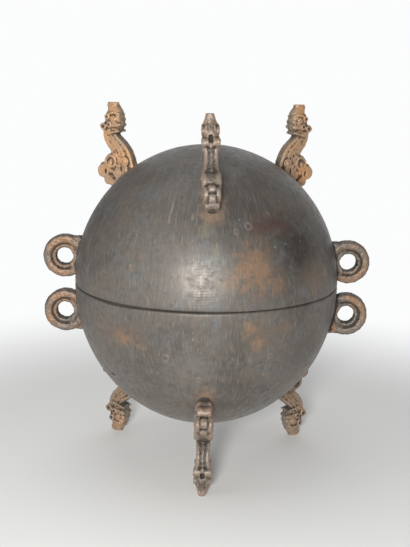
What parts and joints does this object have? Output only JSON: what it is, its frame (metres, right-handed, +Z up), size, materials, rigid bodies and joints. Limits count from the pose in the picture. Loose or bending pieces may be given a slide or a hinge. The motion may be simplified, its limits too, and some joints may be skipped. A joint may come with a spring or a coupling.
{
  "type": "lidded ritual vessel",
  "caption": "Round bronze vessel whose lid is a second bowl, each half on three S-shaped beast legs and with ring handles at the sides.",
  "frame": {"origin": "centre of the bounding box on the plane that the three foot tips stand on", "axes": "+Z up through the middle of both shells, -Y towards the front foot and front lid leg, +X towards the right-hand ring handles"},
  "size_m": [0.2486, 0.2014, 0.27],
  "materials": {
    "shell_bronze": "dark grey-brown bronze patina, worn smooth and finely scratched",
    "cast_bronze": "rough reddish-brown cast bronze with dark hollows and tan residue"
  },
  "bodies": {
    "root": {"bowl": "shell_bronze", "lid": "shell_bronze", "lid_leg_front": "cast_bronze", "lid_leg_rear_right": "cast_bronze", "lid_leg_rear_left": "cast_bronze", "bowl_foot_front": "cast_bronze", "bowl_foot_rear_right": "cast_bronze", "bowl_foot_rear_left": "cast_bronze", "lid_ring_right": "cast_bronze", "lid_ring_left": "cast_bronze", "bowl_ring_right": "cast_bronze", "bowl_ring_left": "cast_bronze"}
  },
  "joints": []
}
